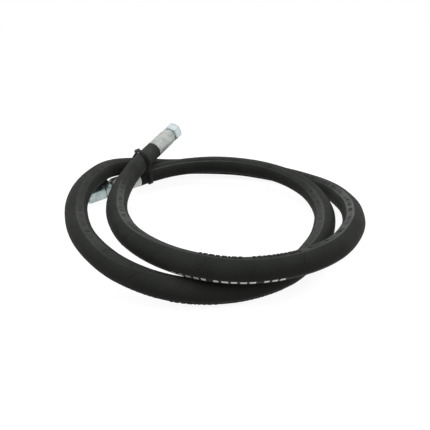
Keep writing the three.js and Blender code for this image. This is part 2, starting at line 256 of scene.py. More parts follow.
# The first band's place and looks: length along the hose, degrees from up towards the inside of the
# coil, how pale the band is, partly its own tone and partly painted sheen, and how strong the painted
# highlight along its raised edges is, from 0 to 1.
BAND_PLACES = [
    (0.000, 18, 0.00, 0.0),
    (0.090, 20, 0.02, 0.0),
    (0.120, 22, 0.15, 0.0),
    (0.140, 26, 0.46, 0.0),
    (0.165, 27, 0.66, 0.0),
    (0.186, 22, 0.72, 0.0),
    (0.213, 16, 0.70, 0.0),
    (0.250, 12, 0.60, 0.1),
    (0.275, 15, 0.40, 0.3),
    (0.305, 22, 0.25, 0.4),
    (0.330, 20, 0.22, 0.3),
    (0.357, 12, 0.22, 0.2),
    (0.400, 10, 0.25, 0.2),
    (0.430, 14, 0.50, 0.1),
    (0.470, 22, 0.90, 0.0),
    (0.510, 25, 1.00, 0.0),
    (0.560, 21, 1.00, 0.0),
    (0.610, 21, 0.70, 0.0),
    (0.650, 21, 0.35, 0.1),
    (0.710, 21, 0.20, 0.1),
    (0.920, 22, 0.20, 0.0),
    (1.000, 26, 0.20, 0.0),
    (1.120, 32, 0.20, 0.0),
    (1.154, 30, 0.26, 0.0),
    (1.184, 19, 0.34, 0.1),
    (1.207, 11, 0.34, 0.1),
    (1.226, 3, 0.30, 0.1),
    (1.241, -5, 0.22, 0.0),
    (1.258, -9, 0.12, 0.0),
    (1.290, 5, 0.12, 0.0),
    (1.330, 18, 0.18, 0.0),
    (1.440, 17, 0.34, 0.1),
    (1.470, 16, 0.42, 0.3),
    (1.495, 21, 0.42, 0.4),
    (1.523, 30, 0.42, 0.4),
    (1.570, 36, 0.34, 0.3),
    (1.600, 37, 0.24, 0.2),
    (1.665, 33, 0.18, 0.1),
    (1.720, 25, 0.14, 0.4),
    (1.765, 25, 0.14, 1.0),
    (1.850, 24, 0.14, 1.0),
    (1.880, 21, 0.08, 0.3),
]
RIDGE_HIGHLIGHT_REACH = 2.5  # degrees, the reach of the painted highlight along a band's raised edges
END_WEAR = 0.32  # how pale handling has made the cover, all round, at end A
END_WEAR_REACH = 45 * MM
BAND_STEP = 1 * MM
BAND_SMOOTHING = 24  # steps to each side, which is three standard deviations

band_along = np.arange(0, HOSE_LENGTH + BAND_STEP, BAND_STEP)
kernel = np.exp(-4.5 * np.linspace(-1, 1, 2 * BAND_SMOOTHING + 1) ** 2)
place_along, *place_columns = zip(*BAND_PLACES)


def smoothed(values):
    """A column of BAND_PLACES at each step along the hose, with its corners rounded."""
    line = np.interp(band_along, place_along, values)
    return np.convolve(np.pad(line, BAND_SMOOTHING, mode="edge"), kernel / kernel.sum(), mode="valid")


band_line, pale_line, ridge_highlight_line = (smoothed(column) for column in place_columns)


def band_centre(along):
    """In radians from up."""
    return np.radians(np.interp(along, band_along, band_line))


def smooth_step(x, low, high):
    t = np.clip((x - low) / (high - low), 0, 1)
    return t * t * (3 - 2 * t)


def from_middle(offset):
    """Degrees to the middle of the nearer band, for degrees from the middle of the first."""
    first = np.abs((offset + 180) % 360 - 180)
    second = np.abs((offset - SECOND_BAND + 180) % 360 - 180)
    return np.minimum(first, second)


def in_band(away):
    """1 in a band, 0 outside it, for degrees from the middle of the nearer one."""
    return 1 - smooth_step(away, BAND_HALF - BAND_EDGE, BAND_HALF + BAND_EDGE)


def skin_radius(along, angle):
    """The hose's radius: slightly wavy, with the tape's laps and two sunken, raised-edged bands."""
    offset = np.degrees(angle - band_centre(along))
    away = from_middle(offset)
    band = in_band(away)
    lap = (along / WRAP_PITCH - offset / 360 - WRAP_PHASE) % 1
    from_lap = np.minimum(lap, 1 - lap) * WRAP_PITCH
    groove = LAP_GROOVE * np.exp(-((from_lap / LAP_GROOVE_REACH) ** 2)) - LAP_RISE * lap
    ridge = RIDGE_HEIGHT * np.exp(-(((away - BAND_HALF) / RIDGE_REACH) ** 2))
    wave = sum(h * np.sin(along / run + times * angle + phase) for h, run, times, phase in WAVES)
    return COVER_RADIUS + wave - (1 - band) * groove - band * BAND_DEPTH + ridge


def paleness(along, angle):
    """How much paler than the cover the skin is here, from 0 to 1: on the bands partly their own tone
    and partly painted sheen, a painted highlight along their raised edges, and handling wear at end A.
    """
    away = from_middle(np.degrees(angle - band_centre(along)))
    pale = in_band(away) * np.interp(along, band_along, pale_line)
    # A painted highlight along the bands' raised edges.
    edge = np.exp(-(((away - BAND_HALF) / RIDGE_HIGHLIGHT_REACH) ** 2))
    bands = pale + edge * (1 - pale) * np.interp(along, band_along, ridge_highlight_line)
    return np.maximum(bands, END_WEAR * np.exp(-((along / END_WEAR_REACH) ** 2)))


def keep_paleness(mesh, values):
    """Stores the paleness of each point, for the material to read."""
    attribute = mesh.attributes.new("pale", "FLOAT", "POINT")
    attribute.data.foreach_set("value", np.asarray(values).ravel().astype(np.float32))


def on_skin(along, angle, lift=0.0):
    """Points on the hose's skin, raised by lift."""
    along, angle = np.broadcast_arrays(np.asarray(along, float), np.asarray(angle, float))
    shape = along.shape
    along, angle = along.ravel(), angle.ravel()
    at, up, side = sections(along)
    radius = (skin_radius(along, angle) + lift)[:, None]
    points = at + radius * (np.cos(angle)[:, None] * up + np.sin(angle)[:, None] * side)
    return points.reshape(*shape, 3)


# ------------------------ node helpers


def new_material(name):
    """A material with nothing but its shader, and its node tree."""
    material = bpy.data.materials.new(name)
    material.use_nodes = True
    return material, material.node_tree


def fill(tree, inputs, values):
    """Sets the named inputs to these values, or links them where the value is a socket."""
    for name, value in values.items():
        if isinstance(value, bpy.types.NodeSocket):
            tree.links.new(value, inputs[name])
        else:
            inputs[name].default_value = value


def node(tree, kind, values=None, **settings):
    made = tree.nodes.new("ShaderNode" + kind)
    for key, setting in settings.items():
        setattr(made, key, setting)
    fill(tree, made.inputs, values or {})
    return made


def math_node(tree, operation, *values):
    return node(tree, "Math", dict(enumerate(values)), operation=operation).outputs[0]


def ramp(tree, value, low, high, start=0.0, end=1.0):
    """From start at low to end at high, smoothly."""
    values = {"Value": value, "From Min": low, "From Max": high, "To Min": start, "To Max": end}
    return node(tree, "MapRange", values, interpolation_type="SMOOTHSTEP").outputs["Result"]


def mixed(tree, factor, a, b):
    """Colour a where the factor is 0, and b where it is 1."""
    a, b = (c if isinstance(c, bpy.types.NodeSocket) else (*c, 1) for c in (a, b))
    return node(tree, "Mix", {0: factor, 6: a, 7: b}, data_type="RGBA").outputs[2]


def noise(tree, scale, detail=3.0, roughness=0.55, stretch=None):
    """Noise in metres, or over the piece as built with a scale for each of its axes."""
    if stretch is None:
        place = node(tree, "TexCoord").outputs["Object"]
    else:
        built = node(tree, "Attribute", attribute_name="built").outputs["Vector"]
        place = node(tree, "Mapping", {"Vector": built, "Scale": stretch}).outputs[0]
    values = {"Vector": place, "Scale": scale, "Detail": detail, "Roughness": roughness}
    return node(tree, "TexNoise", values).outputs[0]


def bump(tree, height, depth, strength, normal=None):
    values = {"Height": height, "Distance": depth, "Strength": strength}
    if normal is not None:
        values["Normal"] = normal
    return node(tree, "Bump", values).outputs["Normal"]


# ------------------------ materials


def dressed(material, colour, roughness, normal=None, metallic=0.0, shine=0.5):
    """The material, with its shader set and linked."""
    values = {"Base Color": colour, "Roughness": roughness, "Metallic": metallic}
    values["Specular IOR Level"] = shine
    if normal is not None:
        values["Normal"] = normal
    tree = material.node_tree
    fill(tree, tree.nodes["Principled BSDF"].inputs, values)
    return material


CLOUDY_BLACK = (0.0205, 0.0225, 0.0199), (0.0285, 0.0307, 0.0268)
# CLOUDY_GREY is the bands' pale colour: partly their own tone, partly painted sheen.
CLOUDY_GREY = (0.080, 0.088, 0.081), (0.112, 0.122, 0.112)
DUST = (0.046, 0.046, 0.041)
LAP_LINE = (0.009, 0.009, 0.009)
WEAVE_PER_LAP = 44  # threads of the curing tape, whose weave is left in the rubber
WEAVE_PER_TURN = 76
WEAVE_DEPTH = 0.05 * MM
LAP_DEPTH = 0.18 * MM


def tape_pattern(tree, colour, normal):
    """Adds the curing tape's weave and the dark line between two of its laps."""
    place = node(tree, "UVMap", uv_map="skin").outputs[0]
    split = node(tree, "SeparateXYZ", {0: place}).outputs
    along, turn = split[0], split[1]
    lap = math_node(tree, "PINGPONG", math_node(tree, "SUBTRACT", along, turn), 0.5)
    wobble = math_node(tree, "SUBTRACT", noise(tree, scale=90, detail=2), 0.5)
    lap = math_node(tree, "MULTIPLY_ADD", wobble, 0.03, lap)
    threads = []
    for direction, count in ((along, WEAVE_PER_LAP), (turn, WEAVE_PER_TURN)):
        phase = math_node(tree, "MULTIPLY", direction, 2 * math.pi * count)
        threads.append(math_node(tree, "SINE", phase))
    weave = math_node(tree, "MULTIPLY", *threads)
    normal = bump(tree, weave, WEAVE_DEPTH, strength=0.6, normal=normal)
    line = ramp(tree, lap, low=0.0, high=0.036, start=1.0, end=0.0)
    colour = mixed(tree, math_node(tree, "MULTIPLY", line, 0.22), colour, LAP_LINE)
    step = ramp(tree, lap, low=0.0, high=0.05)
    return colour, bump(tree, step, LAP_DEPTH, strength=0.7, normal=normal)


def hose_rubber(name, tape, pale_share):
    """Matt black rubber, paler and smoother where the attribute "pale" says so; the paleness is partly
    the bands' own tone and wear, partly painted sheen and painted highlight.
    """
    material, tree = new_material(name)
    cloudy = ramp(tree, noise(tree, scale=26, detail=4), low=0.33, high=0.7)
    dusty = ramp(tree, noise(tree, scale=420, detail=5, roughness=0.7), low=0.5, high=0.8)
    patchy = ramp(tree, noise(tree, scale=150, detail=4, roughness=0.65), low=0.25, high=0.6, start=0.7)
    # The paleness lightens the colour: partly real tone and wear, partly painted sheen and a painted
    # highlight along the bands' raised edges.
    pale = node(tree, "Attribute", attribute_name="pale").outputs["Fac"]
    pale = math_node(tree, "MULTIPLY", pale, math_node(tree, "MULTIPLY", patchy, pale_share))
    colour = mixed(tree, pale, mixed(tree, cloudy, *CLOUDY_BLACK), mixed(tree, cloudy, *CLOUDY_GREY))
    colour = mixed(tree, math_node(tree, "MULTIPLY", dusty, 0.3), colour, DUST)
    roughness = math_node(tree, "MULTIPLY_ADD", dusty, 0.1, 0.72)
    roughness = math_node(tree, "MULTIPLY_ADD", pale, -0.25, roughness)
    grain = noise(tree, scale=900, detail=4, roughness=0.65)
    normal = bump(tree, grain, depth=0.2 * MM, strength=0.8)
    if tape:
        colour, normal = tape_pattern(tree, colour, normal)
    return dressed(material, colour, roughness, normal, shine=0.1)


def smooth_plastic(name, dark, light, roughness, shine, scale):
    """Rubber or nylon that was moulded smooth, in soft clouds with fine specks."""
    material, tree = new_material(name)
    cloudy = ramp(tree, noise(tree, scale, detail=4), low=0.33, high=0.7)
    specks = ramp(tree, noise(tree, scale=700, detail=4, roughness=0.7), low=0.55, high=0.8)
    speck = tuple(1.7 * c for c in light)
    colour = mixed(tree, cloudy, dark, light)
    colour = mixed(tree, math_node(tree, "MULTIPLY", specks, 0.3), colour, speck)
    roughness = math_node(tree, "MULTIPLY_ADD", cloudy, 0.12, roughness)
    normal = bump(tree, noise(tree, scale=1200), depth=0.08 * MM, strength=0.6)
    return dressed(material, colour, roughness, normal, shine=shine)


def silvery_ink(name, fresh, rubbed):
    """White ink with some metal powder in it, a little worn."""
    material, tree = new_material(name)
    patchy = ramp(tree, noise(tree, scale=900, detail=4, roughness=0.7), low=0.58, high=0.75)
    roughness = math_node(tree, "MULTIPLY_ADD", patchy, 0.2, 0.5)
    return dressed(material, mixed(tree, patchy, fresh, rubbed), roughness, metallic=0.4)


def metal(name, colour, tint, roughness, stretch, depth):
    """Metal in soft patches, over the lines that turning or the crimping dies left."""
    material, tree = new_material(name)
    patches = ramp(tree, noise(tree, scale=120, detail=4, roughness=0.6), low=0.3, high=0.7)
    specks = ramp(tree, noise(tree, scale=1400, roughness=0.6), low=0.6, high=0.78)
    dull = tuple(0.62 * c for c in colour)
    base = mixed(tree, patches, colour, tint)
    base = mixed(tree, math_node(tree, "MULTIPLY", specks, 0.3), base, dull)
    roughness = math_node(tree, "MULTIPLY_ADD", patches, 0.1, roughness)
    lines = noise(tree, scale=1.0, roughness=0.6, stretch=stretch)
    grain = noise(tree, scale=900, detail=2)
    normal = bump(tree, lines, depth, strength=0.7)
    normal = bump(tree, grain, depth=0.05 * MM, strength=0.6, normal=normal)
    return dressed(material, base, roughness, normal, metallic=1.0)


def crossed_wires(name, dark, light, scale, lean):
    """Fine wires that cross each other, dark in the gaps between them: painted shade."""
    material, tree = new_material(name)
    place = node(tree, "TexCoord").outputs["Object"]
    waves = []
    for tilt in (lean, -lean):
        turned = node(tree, "Mapping", {"Vector": place, "Rotation": (0.3, 0.4, tilt)}).outputs[0]
        wave = node(tree, "TexWave", {"Vector": turned, "Scale": scale, "Distortion": 0.6})
        waves.append(wave.outputs["Fac"])
    over = math_node(tree, "MAXIMUM", *waves)
    roughness = math_node(tree, "MULTIPLY_ADD", over, -0.2, 0.55)
    normal = bump(tree, over, depth=0.2 * MM, strength=0.8)
    return dressed(material, mixed(tree, over, dark, light), roughness, normal, metallic=1.0)


COVER = hose_rubber("cover_rubber", tape=True, pale_share=1.0)
MARKS = hose_rubber("embossed_rubber", tape=False, pale_share=0.95)

SOOT = (0.005, 0.005, 0.005), (0.010, 0.010, 0.010)
NYLON = (0.0035, 0.0038, 0.0040), (0.0060, 0.0064, 0.0066)
TUBE = smooth_plastic("tube_rubber", *SOOT, roughness=0.5, shine=0.3, scale=300)
STRAP_NYLON = smooth_plastic("strap_nylon", *NYLON, roughness=0.5, shine=0.15, scale=500)
HEAD_NYLON = smooth_plastic("head_nylon", *NYLON, roughness=0.12, shine=0.9, scale=500)
INK = silvery_ink("silvery_ink", (0.85, 0.86, 0.85), (0.40, 0.40, 0.39))

# Lines left by tools: the noise's scale across, across and along the piece, and their depth.
TURNED = {"stretch": (40.0, 40.0, 2600.0), "depth": 0.06 * MM}
CRIMPED = {"stretch": (900.0, 900.0, 45.0), "depth": 0.12 * MM}
SATIN = (0.56, 0.575, 0.56), (0.43, 0.455, 0.43)
BRIGHT = (0.62, 0.675, 0.685), (0.53, 0.595, 0.605)
# A darker copy of the bright zinc for end B, which lies under the hose: painted shade.
SHADED_ZINC_TONES = (0.42, 0.49, 0.485), (0.25, 0.315, 0.31)
STEEL = (0.40, 0.41, 0.42), (0.30, 0.31, 0.33)
BRASS = (0.12, 0.09, 0.04), (0.52, 0.42, 0.22)
SATIN_ZINC = metal("satin_zinc", *SATIN, roughness=0.52, **CRIMPED)
BRIGHT_ZINC = metal("bright_zinc", *BRIGHT, roughness=0.38, **TURNED)
SHADED_ZINC = metal("shaded_zinc", *SHADED_ZINC_TONES, roughness=0.26, **TURNED)
SPRING_STEEL = metal("spring_steel", *STEEL, roughness=0.3, **TURNED)
WIRE = crossed_wires("braid_wire", *BRASS, scale=420, lean=0.9)

# ------------------------ hose


NEAR_EDGE = (-4.0, -2.4, -1.2, 0.0, 1.2, 2.4, 4.0)  # columns at the edge of a band, in degrees
COLUMN_STEP = 6.5  # degrees, elsewhere
END_STRETCH = 2 * MM
END_ROWS = np.array([0.0, 0.15, 0.4, 0.8]) * MM
END_ROUNDING = np.array([0.45, 0.2, 0.06, 0.0]) * MM


def edge_columns():
    """Degrees from the middle of the first band, closer together at the edges of both bands."""
    edges = [SECOND_BAND - BAND_HALF, SECOND_BAND + BAND_HALF, -BAND_HALF, BAND_HALF]
    columns = []
    for edge, following in zip(edges, [*edges[1:], edges[0] + 360]):
        columns += [edge + n for n in NEAR_EDGE]
        start, end = edge + NEAR_EDGE[-1], following + NEAR_EDGE[0]
        count = math.ceil((end - start) / COLUMN_STEP)
        columns += list(np.linspace(start, end, count + 1)[1:-1])
    return np.array(columns)


def map_skin(mesh, along, columns):
    """UVs in laps of the tape and turns round the hose, for a grid with these rows and columns."""
    count = len(columns)
    corner = np.empty(len(mesh.loops), np.int64)
    mesh.loops.foreach_get("vertex_index", corner)
    row, column = corner // count, (corner % count).reshape(-1, 4)
    seam = (column.max(1) == count - 1) & (column.min(1) == 0)
    turns = np.where(seam[:, None] & (column == 0), columns[0] + 360, columns[column]) / 360
    laps = along[row] / WRAP_PITCH - WRAP_PHASE
    uv = mesh.uv_layers.new(name="skin")
    uv.data.foreach_set("uv", np.stack([laps, turns.ravel()], axis=1).ravel().astype(np.float32))


def make_hose():
    """The cover: its skin from end A to end B, with rounded ends, and its bore on the way back."""
    columns = edge_columns()
    middle = np.linspace(END_STRETCH, HOSE_LENGTH - END_STRETCH, HOSE_ROWS - 2 * len(END_ROWS))
    outer_along = np.concatenate([END_ROWS, middle, HOSE_LENGTH - END_ROWS[::-1]])
    inner_along = np.linspace(HOSE_LENGTH, 0, BORE_ROWS)
    along = np.concatenate([outer_along, inner_along])
    angle = band_centre(along)[:, None] + np.radians(columns)[None, :]
    rows = len(outer_along)
    outer = on_skin(outer_along[:, None], angle[:rows])
    for row, shrink in enumerate(END_ROUNDING):
        for r in (row, rows - 1 - row):
            at = centreline(outer_along[[r]])
            outer[r] = at + (outer[r] - at) * (1 - shrink / COVER_RADIUS)
    at, up, side = sections(inner_along)
    turn = angle[rows:, :, None]
    inner = at[:, None] + COVER_BORE * (np.cos(turn) * up[:, None] + np.sin(turn) * side[:, None])
    points = np.concatenate([outer, inner]).reshape(-1, 3)
    faces = outward(points, quads(len(along), len(columns), rows_close=True))
    piece = new_piece("hose_rubber", points, faces, COVER, sharp_angle=60)
    pale = paleness(along[:, None], angle)
    pale[rows:] = 0
    keep_paleness(piece.data, pale)
    map_skin(piece.data, along, columns)
    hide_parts("hose_cover")
    return piece


hose = make_hose()

# ------------------------ marks on the hose


MARK_GRID = (1.2 * MM, 1.0 * MM)  # the mesh's step along and round the hose
MARK_SLOPE = 0.5 * MM  # how much wider a mark is at its foot, along and across
MARK_ROOT = -0.25 * MM  # of its foot, from the skin
# Factors by which some marks are painted darker than the band under them, as painted shade.
MARK_SHADE = (0.1, 0.45, 0.8, 1.0, 1.0, 1.0)


def patch(along, angle, length, width, lift):
    """A thin plate that lies on the hose: its length runs along the hose, its width round it."""
    n, m = (max(2, round(size / step) + 1) for size, step in zip((length, width), MARK_GRID))
    rows, turns = np.linspace(-0.5, 0.5, n)[:, None], np.linspace(-0.5, 0.5, m)[None, :]
    points, pale = [], []
    for grow, height in ((0, lift), (MARK_SLOPE, MARK_ROOT)):
        s, t = along + rows * (length + grow), angle + turns * (width + grow) / COVER_RADIUS
        points.append(on_skin(s, t, height).reshape(-1, 3))
        pale.append(paleness(s, t).ravel())
    count = n * m
    lid = quads(n, m, columns_close=False)
    rim = [*range(m), *range(2 * m - 1, count, m)]
    rim += [*range(count - 2, count - m - 1, -1), *range(count - 2 * m, 0, -m)]
    rim = np.array(rim)
    after = np.roll(rim, -1)
    wall = np.stack([after, rim, rim + count, after + count], axis=1)
    points = np.concatenate(points)
    faces = outward(points, np.concatenate([lid, lid[:, ::-1] + count, wall]))
    return points, faces, np.concatenate(pale)


def plates(name, places, material, seed):
    """Patches as one piece; some of them are painted darker than the band that they stand on, as
    painted shade.
    """
    rng = random.Random(seed)
    points, faces, pale, count = [], [], [], 0
    for place in places:
        p, f, shade = patch(*place)
        points.append(p)
        faces.append(f + count)
        pale.append(shade * rng.choice(MARK_SHADE))
        count += len(p)
    piece = new_piece(name, np.concatenate(points), np.concatenate(faces), material, sharp_angle=40)
    keep_paleness(piece.data, np.concatenate(pale))
    return piece


def dashes(start, end, turns, width, lift, lengths, gaps, seed, group, pause):
    """Bars and gaps in a row, in groups with a pause between them.

    The turns say how far the row's start and its end stand from the middle of the first band."""
    rng = random.Random(seed)
    at, found, in_group = start, [], 0
    while at < end:
        length = rng.choice(lengths) * MM
        turn = turns[0] + (turns[1] - turns[0]) * (at - start) / (end - start)
        angle = float(band_centre(at)) + math.radians(turn)
        found.append((at + length / 2, angle, length, width * rng.uniform(0.75, 1.0), lift))
        in_group += 1
        at += length + rng.uniform(*gaps) * MM
        if in_group >= rng.randint(*group):
            at += rng.uniform(*pause) * MM
            in_group = 0
    return found


LOW, HIGH, PROUD = 0.16 * MM, 0.42 * MM, 0.68 * MM
# Lengths, gaps and pauses are in millimetres; a group has that many bars.
BARS = {"width": 4.2 * MM, "lengths": (1.8, 2.4, 3.2, 4.2), "gaps": (1.2, 2.0)}
BARS |= {"group": (8, 14), "pause": (5, 9)}
PRINT = {"width": 3.8 * MM, "lengths": (3.8, 4.4, 5.0), "gaps": (1.6, 2.6)}
PRINT |= {"group": (4, 6), "pause": (3, 4), "lift": 0.06 * MM}
# Rows of embossed bars: the band, the row's start and end along the hose, its height and its seed.
BAR_ROWS = [
    (0, 0.045, 0.26, LOW, 15),
    (0, 0.322, 0.41, PROUD, 43),
    (0, 0.42, 0.86, HIGH, 53),
    (0, 0.93, 1.30, LOW, 104),
    (0, 1.36, 1.80, LOW, 147),
    (SECOND_BAND, 0.06, 0.24, LOW, 63),
    (SECOND_BAND, 0.52, 0.80, HIGH, 109),
    (SECOND_BAND, 0.95, 1.30, LOW, 152),
    (SECOND_BAND, 1.31, 1.345, HIGH, 188),
    (SECOND_BAND, 1.36, 1.78, LOW, 193),
]

embossed = []
for band, start, end, lift, seed in BAR_ROWS:
    embossed += dashes(start, end, (band, band), lift=lift, seed=seed, **BARS)
marks = plates("embossed_marks", embossed, MARKS, 5)

printed = dashes(0.303, 0.389, (SECOND_BAND - 1, SECOND_BAND + 12), seed=91, **PRINT)
print_marks = plates("printed_dashes", printed, INK, 6)

# ------------------------ end fittings


def fitting_frame(at, out):
    """The place of a fitting that is built along +Z, from where the hose's cover ends."""
    out = Vector(out).normalized()
    up = (Vector((0, 0, 1)) - out * out.z).normalized()
    matrix = Matrix((up.cross(out), up, out)).transposed().to_4x4()
    matrix.translation = at
    return matrix


def ring_mesh(name, loop, angles, place, material, sharp_angle=32):
    """A ring whose closed outline is loop(angle), a list of (radius, z), equally long all round."""
    points = []
    for angle in angles:
        points += [(radius * math.cos(angle), radius * math.sin(angle), z) for radius, z in loop(angle)]
    points = np.array(points)
    faces = outward(points, quads(len(angles), len(points) // len(angles), rows_close=True))
    return new_piece(name, points, faces, material, sharp_angle, place)


def all_round(count):
    return 2 * math.pi * np.arange(count) / count


def rounded(profile, steps=3):
    """The closed outline in millimetres, each corner rounded. A point is (r, z) or (r, z, radius)."""
    out = []
    count = len(profile)
    for i, (r, z, *radius) in enumerate(profile):
        corner = np.array((r, z), float)
        if not radius:
            out.append(tuple(corner * MM))
            continue
        before = np.array(profile[i - 1][:2], float) - corner
        after = np.array(profile[(i + 1) % count][:2], float) - corner
        reach = (np.linalg.norm(before), np.linalg.norm(after))
        cosine = float(np.clip(before @ after / reach[0] / reach[1], -0.9999, 0.9999))
        cut = min(radius[0] / math.tan(math.acos(cosine) / 2), 0.45 * reach[0], 0.45 * reach[1])
        start, end = corner + before / reach[0] * cut, corner + after / reach[1] * cut
        for t in np.arange(steps + 1) / steps:
            out.append(tuple(((1 - t) ** 2 * start + 2 * t * (1 - t) * corner + t**2 * end) * MM))
    return out


SIXTH = math.pi / 3
CORNER_WEAR = 0.2 * MM
HEX_CORNER = HEX_FLATS / 2 / math.cos(SIXTH / 2) - CORNER_WEAR
CHAMFER_SLOPE = math.tan(math.radians(30))
EDGE_BEVEL = 0.18 * MM
CROWN_STEPS = 6


def hex_radius(angle, turn):
    """The hexagon's radius in this direction, with its corners slightly rounded."""
    local = (angle - math.radians(turn)) % SIXTH - SIXTH / 2
    return min(HEX_FLATS / 2 / math.cos(local), HEX_CORNER)


def hex_columns(turn, between=16):
    """Angles round a hexagon, closer together at its corners."""
    spread = np.sin(np.linspace(-0.5, 0.5, between, endpoint=False) * math.pi) / 2
    return np.concatenate([math.radians(turn) + SIXTH * (k + 0.5 + spread) for k in range(6)])


def chamfered(radius):
    """(radius, height) from a hexagon's end face up to where its side starts, at this radius."""
    flats, bevel = HEX_FLATS / 2, EDGE_BEVEL
    chamfer = (radius - flats) * CHAMFER_SLOPE
    return [
        (flats - 2 * bevel, 0),
        (flats - 0.6 * bevel, 0.15 * bevel),
        (flats, 0.5 * bevel),
        (radius - 0.3 * bevel, chamfer + 0.5 * bevel),
        (radius, chamfer + 1.2 * bevel),
    ]


def crowned(radius, crown):
    """The same, but rounded over this length."""
    turns = [math.pi / 2 * k / CROWN_STEPS for k in range(CROWN_STEPS + 1)]
    inward = radius - CROWN_RADIUS
    return [(radius - inward * (1 - math.sin(t)), crown * (1 - math.cos(t))) for t in turns]


def hex_ring(name, start, end, turn, bore_loop, place, finish, crowns=None):
    """A hexagon round the given bore outline, which runs from end to start.

    The crowns are the lengths over which its back and its mouth are rounded, not chamfered."""

    def loop(angle):
        radius = hex_radius(angle, turn)
        back, mouth = (crowned(radius, c) for c in crowns) if crowns else [chamfered(radius)] * 2
        sides = [(r, start + z) for r, z in back] + [(r, end - z) for r, z in reversed(mouth)]
        return sides + bore_loop(angle)

    return ring_mesh(name, loop, hex_columns(turn), place, finish, 24)


# Ferrules and nipples are outlined in millimetres, from the end of the hose's cover.
RING_COLUMNS = 96
CRIMPS = 8
CRIMP_RADIUS = 10.85
RIDGE = 0.26  # how high the metal rose between two crimping dies
RIDGE_WIDTH = 0.055  # in radians
DIE_HOLLOW = 0.05
SLEEVE_BORE = 9.75
LIP_RADIUS = 11.2
LOCK_RADIUS = 7.3  # of the inward lip that grips the nipple
LOCK_START = 35.0


def make_ferrule(name, place):
    """A crimped sleeve: eight die flats with a raised line between each two, and a lip at its mouth."""
    eighth = 2 * math.pi / CRIMPS
    end = FERRULE_LENGTH / MM

    def loop(angle):
        across = (angle % eighth) / eighth
        ridge = RIDGE * math.exp(-((min(across, 1 - across) * eighth / RIDGE_WIDTH) ** 2))
        body = CRIMP_RADIUS + DIE_HOLLOW * math.cos(2 * math.pi * across)
        return rounded(
            [
                (9.9, 0.3, 0.1),
                (11.0, 0.3, 0.25),
                (LIP_RADIUS, 0.7, 0.2),
                (LIP_RADIUS, 2.5, 0.3),
                (body + 0.1, 3.1, 0.2),
                (body + 0.25 * ridge, 4.0, 0.2),
                (body + ridge, 5.2, 0.6),
                (body + ridge, 19.0),
                (body + ridge, 33.0, 0.6),
                (body + 0.3 * ridge, 34.2, 0.3),
                (CRIMP_RADIUS - 0.35, 36.2, 0.5),
                (CRIMP_RADIUS - 1.0, end - 0.6, 0.4),
                (9.2, end, 0.2),
                (LOCK_RADIUS, end, 0.2),
                (LOCK_RADIUS, LOCK_START, 0.1),
                (SLEEVE_BORE, LOCK_START, 0.1),
                (SLEEVE_BORE, 20.0),
            ]
        )

    return ring_mesh(name, loop, all_round(2 * RING_COLUMNS), place, SATIN_ZINC, 40)


# The nipple's radii.
NIPPLE_BORE = 4.2
TAIL = 5.05
BARB = 5.55
SHOULDER = 6.9
COLLAR = 8.8
HEX_SEAT = 7.4
NECK = 6.7
WIRE_GROOVE = 5.8
HEAD = 8.1
SEAT = 7.3
# Its barbed tail, along the hose.
TAIL_START = 2.5
FIRST_BARB = 3.6
BARB_LENGTH = 4.2
BARB_PITCH = 5.2
BARBS = 6
SEAT_SLOPE = math.tan(math.radians(37))


def make_nipple(name, place, wrench, turn, finish):
    """The inner part of the fitting: barbed tail, collar or wrench hexagon, neck, and a flared seat."""
    collar_start = FERRULE_LENGTH + GAP + (WRENCH_HEX_NECK if wrench else 0)
    collar_end = collar_start + (WRENCH_HEX_LENGTH if wrench else COLLAR_LENGTH)
    low, high = collar_start / MM, collar_end / MM
    groove = (collar_end + GAP + NUT_WEB / 2) / MM
    head = (collar_end + GAP + NUT_WEB + GAP) / MM
    end = head + HEAD_LENGTH / MM

    outline = [(TAIL + 0.02, TAIL_START, 0.1)]
    for i in range(BARBS):
        start = FIRST_BARB + BARB_PITCH * i
        outline += [(TAIL, start), (BARB, start + BARB_LENGTH, 0.08)]
    outline += [(BARB, LOCK_START), (SHOULDER, LOCK_START + 0.05, 0.2), (SHOULDER, low)]
    if wrench:
        outline += [(HEX_SEAT, low), (HEX_SEAT, high)]
    else:
        outline += [(COLLAR, low, 0.3), (COLLAR, high, 0.3)]
    outline += [
        (NECK, high),
        (NECK, groove - 1.05),
        (WIRE_GROOVE, groove - 0.7, 0.2),
        (WIRE_GROOVE, groove + 0.7, 0.2),
        (NECK, groove + 1.05),
        (NECK, head),
        (HEAD, head + 0.4, 0.2),
        (HEAD, end, 0.25),
        (SEAT, end, 0.2),
        (NIPPLE_BORE, end - (SEAT - NIPPLE_BORE) / SEAT_SLOPE, 0.3),
        (NIPPLE_BORE, TAIL_START, 0.1),
    ]
    outline = rounded(outline)
    pieces = [ring_mesh(name, lambda angle: outline, all_round(RING_COLUMNS), place, finish)]
    if wrench:
        bore = (HEX_SEAT + 0.05) * MM
        hexagon = (name + "_hex", collar_start, collar_end, turn)
        bore_loop = [(bore, collar_end), (bore, collar_start)]
        pieces.append(hex_ring(*hexagon, lambda angle: bore_loop, place, finish))
    return pieces


THREAD_PITCH = 1.5875 * MM
THREAD_ROWS = 8  # in each turn
THREAD_RADIUS = 8.75 * MM
THREAD_HEIGHT = 0.62 * MM
THREAD_RUNOUT = 0.8 * MM
COUNTERSINK = [(9.6 * MM, 0), (9.25 * MM, 0.35 * MM), (8.95 * MM, 0.65 * MM)]  # radius, depth
NUT_BORE = 7.0 * MM
NUT_GROOVE = [(7.0, 1.05), (7.9, 0.7), (7.9, -0.7), (7.0, -1.05)]  # for the wire, in millimetres


